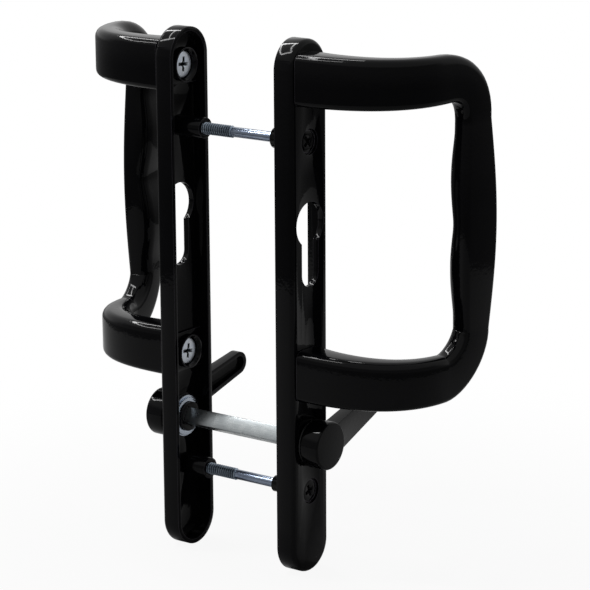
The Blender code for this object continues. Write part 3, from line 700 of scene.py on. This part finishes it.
# Each section is a plane with rounded corners; neighbours are bridged and the two ends filled
def makePull(name):
    low = armPlaces(place["lowerPullZ"], -1, pull["lowerPower"])
    high = armPlaces(place["upperPullZ"], 1, pull["upperPower"])
    middle = (low[pull["armSteps"]][0].z + high[pull["armSteps"]][0].z) / 2 + pull["middleShift"]
    sections = high + gripPlaces(high[-1], low[-1], middle) + low[::-1]
    selectNothing()
    bpy.ops.mesh.primitive_plane_add(size=1 * mm)
    handle = bpy.context.object
    handle.name = name
    bpy.ops.object.mode_set(mode='EDIT')
    bpy.ops.mesh.select_mode(type='VERT')
    pickAll()
    bpy.ops.mesh.delete(type='VERT')
    for section in sections:
        addSection(handle, *section)
    pick(handle, 'FACE', lambda face: True)
    bpy.ops.mesh.delete(type='ONLY_FACE')
    count = 2 * (pull["frontSegments"] + 1) + 2 * (pull["backSegments"] + 1)
    for index in range(len(sections) - 1):
        pick(handle, 'EDGE', lambda edge: len({v.index // count for v in edge.verts}) == 1
             and edge.verts[0].index // count in (index, index + 1))
        bpy.ops.mesh.bridge_edge_loops()
    pickAll()
    bpy.ops.mesh.fill_holes(sides=0)
    faceOutwards()
    endEdit()
    smooth(handle, angle=40)
    return handle


# One section's plane, its corners rounded: little at the front, more along an arm's upper edge and
# most at the back
def addSection(handle, centre, front, out, thickness, width):
    turn = Matrix((front, out, front.cross(out))).transposed()
    first = len(bmesh.from_edit_mesh(handle.data).verts)
    bpy.ops.mesh.select_all(action='DESELECT')
    bpy.ops.mesh.primitive_plane_add(size=1, location=centre, rotation=turn.to_euler())
    bpy.ops.transform.resize(value=(thickness, width, 1), orient_type='GLOBAL', orient_matrix=turn,
                             orient_matrix_type='GLOBAL', center_override=centre)
    atFront, atSide = thickness * pull["nearHalf"], width * pull["nearHalf"]
    backRound = min(pull["backRound"], atFront, atSide)
    pick(handle, 'VERT', lambda v: v.index >= first and (v.co - centre).dot(front) < 0)
    bpy.ops.mesh.bevel(offset=backRound, segments=pull["backSegments"], affect='VERTICES')
    for way in (1, -1):
        top = max(0, way * out.z)
        frontRound = pull["frontRound"] + (pull["topRound"] - pull["frontRound"]) * top
        pick(handle, 'VERT', lambda v: v.index >= first and (v.co - centre).dot(front) > atFront
             and (v.co - centre).dot(out) * way > atSide)
        bpy.ops.mesh.bevel(offset=frontRound, segments=pull["frontSegments"], affect='VERTICES')
    bpy.ops.object.mode_set(mode='OBJECT')  # numbers this section's points after the earlier ones
    bpy.ops.object.mode_set(mode='EDIT')


outsidePull = makePull("outsidePull")
insidePull = copyInside(outsidePull, "insidePull")
finishPiece(outsidePull, coat, "door_set", "outside_pull")
finishPiece(insidePull, coat, "door_set", "inside_pull")
print("pulls made")


lever = {
    "hubRadius": 9.6 * mm, "hubBack": 9.4 * mm, "hubFront": 17.8 * mm, "hubEdge": 0.9 * mm,
    "length": 49.3 * mm, "rootHeight": 12.0 * mm, "tipHeight": 9.5 * mm, "frontAtAxis": 17.4 * mm,
    "frontAtTip": 13.6 * mm, "rootThickness": 6.4 * mm, "tipThickness": 3.8 * mm, "edge": 0.8 * mm,
    "smallEdge": 0.2 * mm, "wall": 1.8 * mm, "web": 1.8 * mm, "tilt": 14.3, "neckRadius": 6.0 * mm,
    "neckEnd": 2.2 * mm, "neckRoot": 2 * mm, "grooveLow": 2.8 * mm, "grooveHigh": 4.2 * mm,
    "grooveRadius": 5.3 * mm, "hollowBack": -3 * mm, "socketStart": -2 * mm, "socketEnd": 14.8 * mm,
    "socketSide": 6.95 * mm, "spindleTurn": 59.3,
}


# Lever arm with its round tip: the back half of a cylinder drawn to the axis and made taller,
# then the two faces turned to their slopes about the tip
def addArm(name, inset, start, front, back, slopeFront, slopeBack):
    half = lever["tipHeight"] / 2
    middle = lever["length"] - half
    count = sides["medium"]
    turn = Matrix.Rotation(math.radians(90), 4, 'Y') @ Matrix.Rotation(math.pi / count, 4, 'Z')
    selectNothing()
    bpy.ops.mesh.primitive_cylinder_add(vertices=count, radius=half - inset, depth=front - back,
                                        location=((front + back) / 2, middle, 0),
                                        rotation=turn.to_euler())
    arm = bpy.context.object
    arm.name = name
    applyPlace(arm)
    startEdit(arm)
    fall = (lever["rootHeight"] / 2 - half) / middle
    tall = (lever["rootHeight"] / 2 - fall * start - inset) / (half - inset)
    pick(arm, 'VERT', lambda v: v.co.y < middle)
    bpy.ops.transform.translate(value=(0, start - middle, 0))
    bpy.ops.transform.resize(value=(1, 0, tall), center_override=(0, start, 0))
    for face, slope in ((front, slopeFront), (back, slopeBack)):
        pick(arm, 'VERT', lambda v: abs(v.co.x - face) < sameLevel)
        bpy.ops.transform.rotate(value=-slope, orient_axis='Z',
                                 center_override=(face, lever["length"], 0))
    endEdit()
    tidyNormals(arm)
    return arm


def makeLever(name):
    size = lever
    hub = addRod(name, size["hubBack"], size["hubFront"], size["hubRadius"], vertices=sides["large"])
    startEdit(hub)
    pick(hub, 'EDGE', lambda edge: abs(edge.verts[0].co.x - edge.verts[1].co.x) < sameLevel)
    bpy.ops.mesh.bevel(offset=size["hubEdge"], segments=5, affect='EDGES')
    endEdit()
    slopeFront = math.atan((size["frontAtAxis"] - size["frontAtTip"]) / size["length"])
    backAtTip = size["frontAtTip"] - size["tipThickness"]
    slopeBack = math.atan((size["frontAtAxis"] - size["rootThickness"] - backAtTip) / size["length"])
    arm = addArm("arm", 0, 0, size["frontAtTip"], backAtTip, slopeFront, slopeBack)
    roundEdges(arm, size["edge"], segments=4)
    join(hub, arm)
    hollow = addArm("hollow", size["wall"], size["hubRadius"] + size["wall"],
                    size["frontAtTip"] - size["web"], size["hollowBack"], slopeFront, 0)
    cut(hub, hollow)
    join(hub, addRod("neck", size["neckEnd"], size["hubBack"] + size["neckRoot"], size["neckRadius"]))
    groove = addRod("groove", size["grooveLow"], size["grooveHigh"], size["neckRadius"] + overrun)
    cut(groove, addRod("core", 0, size["hubBack"], size["grooveRadius"]))
    cut(hub, groove)
    half = size["socketSide"] / 2
    socket = addBlock("socket", (size["socketStart"], -half, -half), (size["socketEnd"], half, half))
    socket.rotation_euler = (math.radians(size["spindleTurn"] - size["tilt"]), 0, 0)
    applyPlace(socket)
    cut(hub, socket)
    softEdges(hub, size["smallEdge"], angle=60)
    hub.rotation_euler = (math.radians(size["tilt"]), 0, 0)
    hub.location = (0, 0, place["spindleZ"])
    applyPlace(hub)
    smooth(hub)
    return hub


outsideLever = makeLever("outsideLever")
insideLever = copyInside(outsideLever, "insideLever")
finishPiece(outsideLever, coat, "levers", "outside_lever")
finishPiece(insideLever, coat, "levers", "inside_lever")
print("levers made")


# Machine screws: long ones with black countersunk heads, and shorter ones with bright domed heads.
# The thread's pitch is a guess: the photograph is too coarse to count its ridges
screw = {
    "longHeadTop": 7.3 * mm, "longHeadBack": 4.65 * mm, "longHeadRadius": 4.65 * mm,
    "longHeadEdge": 0.15 * mm, "shankRadius": 2.0 * mm, "shankEdge": 0.3 * mm, "joint": 0.05 * mm,
    "threadRadius": 2.4 * mm, "coreRadius": 1.8 * mm, "pitch": 1.058 * mm, "leadIn": 1.2,
    "threadSteps": 24, "tip": -52.7 * mm, "threadEnd": -28.3 * mm,
    "longUpperTurn": 40, "longLowerTurn": 20,
    "headTop": 2.7 * mm, "headRim": 3.15 * mm, "headBack": 5.1 * mm, "headRadius": 5.2 * mm,
    "headEdge": 0.12 * mm, "stemRadius": 2.5 * mm, "stemRoot": 0.3 * mm, "stemEnd": 21.1 * mm,
    "upperTurn": -5, "lowerTurn": -8, "longSpan": 5.2 * mm, "span": 6.2 * mm, "slotWide": 1.35 * mm,
    "slotDeep": 2.0 * mm, "slotCone": 3.4 * mm, "slotTip": 0.2 * mm, "spanTaper": 0.55, "wingTaper": 0.3,
}


# Cutter for a cross recess: two wings, smaller with depth, and a four-sided cone between them
def addRecess(name, top, inwards, span, z, turn):
    deep = screw["slotDeep"]
    wings = []
    for across, up in ((screw["slotWide"], span), (span, screw["slotWide"])):
        wing = addBlock("wing", (-deep, -across / 2, -up / 2), (deep, across / 2, up / 2))
        startEdit(wing)
        for way in (1, -1):
            long, thin = 1 - way * screw["spanTaper"], 1 - way * screw["wingTaper"]
            pick(wing, 'VERT', lambda v: v.co.x * way > 0)
            bpy.ops.transform.resize(value=(1, thin, long) if up > across else (1, long, thin),
                                     center_override=(0, 0, 0))
        endEdit()
        wings.append(wing)
    join(wings[0], wings[1])
    selectNothing()
    bpy.ops.mesh.primitive_cone_add(vertices=4, radius1=screw["slotCone"], radius2=screw["slotTip"],
                                    depth=2 * deep, rotation=(0, math.radians(90), 0))
    cone = bpy.context.object
    applyPlace(cone)
    join(wings[0], cone)
    recess = wings[0]
    recess.name = name
    if inwards < 0:
        startEdit(recess)
        pickAll()
        bpy.ops.transform.resize(value=(-1, 1, 1), center_override=(0, 0, 0))
        faceOutwards()
        endEdit()
    recess.rotation_euler = (math.radians(turn), 0, 0)
    recess.location = (top, 0, z)
    applyPlace(recess)
    return recess


# Rolled thread: one ridge of the profile wound along the X axis, from before the start to past the
# end, then both ends cut square
def addThread(name, start, end, z):
    selectNothing()
    bpy.ops.mesh.primitive_circle_add(vertices=3, radius=1 * mm)
    ridge = bpy.context.object
    ridge.name = name
    pitch, core = screw["pitch"], screw["coreRadius"]
    turns = int((end - start) / pitch) + 3
    first = start - screw["leadIn"] * pitch
    corners = ((first, core), (first + pitch / 2, screw["threadRadius"]), (first + pitch, core))
    startEdit(ridge, 'VERT')
    form = bmesh.from_edit_mesh(ridge.data)
    for vert, (x, y) in zip(form.verts, corners):
        vert.co = (x, y, 0)
    bmesh.update_edit_mesh(ridge.data)
    pick(ridge, 'EDGE', lambda edge: all(abs(v.co.y - core) < sameLevel for v in edge.verts))
    bpy.ops.mesh.delete(type='EDGE')
    endEdit()
    wind = ridge.modifiers.new("wind", 'SCREW')
    wind.axis = 'X'
    wind.steps = wind.render_steps = screw["threadSteps"]
    wind.screw_offset = pitch
    wind.iterations = turns
    applyAll(ridge)
    startEdit(ridge, 'VERT')
    pickAll()
    bpy.ops.mesh.remove_doubles(threshold=mergeWithin)
    for level, way in ((start, 1), (end, -1)):
        pickAll()
        bpy.ops.mesh.bisect(plane_co=(level, 0, 0), plane_no=(way, 0, 0), use_fill=True,
                            clear_inner=True)
    faceOutwards()
    bpy.ops.transform.translate(value=(0, 0, z))
    endEdit()
    smooth(ridge, angle=30)
    return ridge


def makeLongScrew(name, z, turn):
    size = screw
    shank = addRod(name, size["threadEnd"], size["longHeadBack"] - size["joint"], size["shankRadius"], z,
                   vertices=sides["boss"])
    softEdges(shank, size["shankEdge"])
    smooth(shank)
    thread = addThread(name + "Thread", size["tip"], size["threadEnd"] + size["joint"], z)
    head = addRod(name + "Head", size["longHeadBack"], size["longHeadTop"], size["shankRadius"], z,
                  vertices=sides["large"], endRadius=size["longHeadRadius"])
    cut(head, addRecess("recess", size["longHeadTop"], -1, size["longSpan"], z, turn))
    softEdges(head, size["longHeadEdge"], angle=30)
    smooth(head)
    return shank, thread, head


for node, z, turn in (("fixing_screw_upper", place["upperFixingZ"], screw["longUpperTurn"]),
                      ("fixing_screw_lower", place["lowerFixingZ"], screw["longLowerTurn"])):
    title = "upperLongScrew" if z > place["cylinderZ"] else "lowerLongScrew"
    shank, thread, head = makeLongScrew(title, z, turn)
    finishPiece(shank, screwZinc, "door_set", node)
    finishPiece(thread, threadZinc, "door_set", node)
    finishPiece(head, coat, "door_set", node)
print("long screws made")


# Domed head: half of a flattened ball, its rim drawn back to the head's underside
def makePullScrew(name, z, turn):
    size = screw
    selectNothing()
    bpy.ops.mesh.primitive_uv_sphere_add(segments=sides["large"], ring_count=sides["large"] // 2,
                                         radius=size["headRadius"], rotation=(0, math.radians(90), 0))
    head = bpy.context.object
    head.name = name
    applyPlace(head)
    head.scale = ((size["headRim"] - size["headTop"]) / size["headRadius"], 1, 1)
    head.location = (size["headRim"], 0, z)
    applyPlace(head)
    startEdit(head)
    pick(head, 'VERT', lambda v: v.co.x > size["headRim"] + sameLevel)
    bpy.ops.mesh.delete(type='VERT')
    pickAll()
    bpy.ops.mesh.region_to_loop()
    rimDepth = size["headBack"] - size["headRim"]
    bpy.ops.mesh.extrude_edges_move(TRANSFORM_OT_translate={"value": (rimDepth, 0, 0)})
    bpy.ops.mesh.edge_face_add()
    endEdit()
    tidyNormals(head)
    join(head, addRod("stem", size["headBack"] - size["stemRoot"], size["stemEnd"],
                      size["stemRadius"], z, vertices=sides["hole"]))
    cut(head, addRecess("recess", size["headTop"], 1, size["span"], z, turn))
    softEdges(head, size["headEdge"], angle=40)
    smooth(head, angle=30)
    return head


for level, z, turn in (("upper", place["upperPullZ"], screw["upperTurn"]),
                       ("lower", place["lowerPullZ"], screw["lowerTurn"])):
    outsideScrew = makePullScrew(level + "OutsideScrew", z, turn)
    insideScrew = copyInside(outsideScrew, level + "InsideScrew")
    finishPiece(outsideScrew, headZinc, "door_set", "outside_pull_screw_" + level)
    finishPiece(insideScrew, headZinc, "door_set", "inside_pull_screw_" + level)
print("pull screws made")


# Square bar through both levers, turned as their sockets are
spindle = {"side": 6.35 * mm, "end": 14.5 * mm, "edge": 0.35 * mm}


def makeSpindle(name):
    half = spindle["side"] / 2
    end = spindle["end"]
    bar = addBlock(name, (-door["thickness"] - end, -half, -half), (end, half, half))
    startEdit(bar)
    pick(bar, 'EDGE', lambda edge: True)
    bpy.ops.mesh.bevel(offset=spindle["edge"], segments=3, affect='EDGES')
    endEdit()
    bar.rotation_euler = (math.radians(lever["spindleTurn"]), 0, 0)
    bar.location = (0, 0, place["spindleZ"])
    applyPlace(bar)
    smooth(bar)
    return bar


finishPiece(makeSpindle("spindleBar"), barZinc, "levers", "spindle")
print("spindle made")


# Bearing of each lever: nylon bush in the plate, washer and open spring ring behind it
bearing = {
    "bore": 6.3 * mm, "bushBack": 5.3 * mm, "bushOuter": 7.3 * mm, "flangeBack": 8.5 * mm,
    "flangeFront": 9.1 * mm, "flangeRadius": 8.8 * mm, "washerLow": 4.2 * mm, "washerHigh": 5.0 * mm,
    "washerRadius": 8.4 * mm, "ringLow": 3.1 * mm, "ringHigh": 3.9 * mm, "ringRadius": 7.7 * mm,
    "ringInner": 5.6 * mm, "ringOffset": 0.4 * mm, "ringOpening": 64, "wedgeReach": 12 * mm,
    "wedgePoint": 0.001, "edge": 0.12 * mm,
}


def bored(piece, low, high, radius):
    size = bearing
    cut(piece, addRod("bore", low - overrun, high + overrun, radius, place["spindleZ"],
                      vertices=sides["large"]))
    softEdges(piece, size["edge"])
    smooth(piece)
    return piece


def makeBush(name):
    size = bearing
    bush = addRod(name, size["bushBack"], size["flangeFront"], size["bushOuter"], place["spindleZ"],
                  vertices=sides["large"])
    join(bush, addRod("flange", size["flangeBack"], size["flangeFront"], size["flangeRadius"],
                      place["spindleZ"], vertices=sides["large"]))
    return bored(bush, size["bushBack"], size["flangeFront"], size["bore"])


def makeWasher(name):
    size = bearing
    washer = addRod(name, size["washerLow"], size["washerHigh"], size["washerRadius"], place["spindleZ"],
                    vertices=sides["large"])
    return bored(washer, size["washerLow"], size["washerHigh"], size["bore"])


# Open ring: a wedge from its middle cuts the opening
def makeRing(name):
    size = bearing
    low, high = size["ringLow"], size["ringHigh"]
    ring = addRod(name, low, high, size["ringRadius"], y=-size["ringOffset"], vertices=sides["large"])
    cut(ring, addRod("bore", low - overrun, high + overrun, size["ringInner"], vertices=sides["large"]))
    reach = size["wedgeReach"]
    wide = reach * math.tan(math.radians(size["ringOpening"] / 2))
    wedge = addBlock("wedge", (low - overrun, 0, -wide), (high + overrun, reach, wide))
    startEdit(wedge)
    pick(wedge, 'VERT', lambda v: v.co.y < sameLevel)
    bpy.ops.transform.resize(value=(1, 1, size["wedgePoint"]), center_override=(0, 0, 0))
    endEdit()
    cut(ring, wedge)
    softEdges(ring, size["edge"])
    ring.rotation_euler = (math.radians(lever["tilt"]), 0, 0)
    ring.location = (0, 0, place["spindleZ"])
    applyPlace(ring)
    smooth(ring)
    return ring


for title, make, material, body, node, slot in (
        ("Bush", makeBush, nylon, "door_set", "lever_bush", "nylon"),
        ("Washer", makeWasher, springZinc, "door_set", "lever_washer", "zinc plate"),
        ("RetainingRing", makeRing, springZinc, "levers", "retaining_ring", "zinc plate")):
    outer = make("outside" + title)
    inner = copyInside(outer, "inside" + title)
    finishPiece(outer, material, body, "outside_" + node)
    finishPiece(inner, material, body, "inside_" + node)
print("bearings made")


selectNothing()
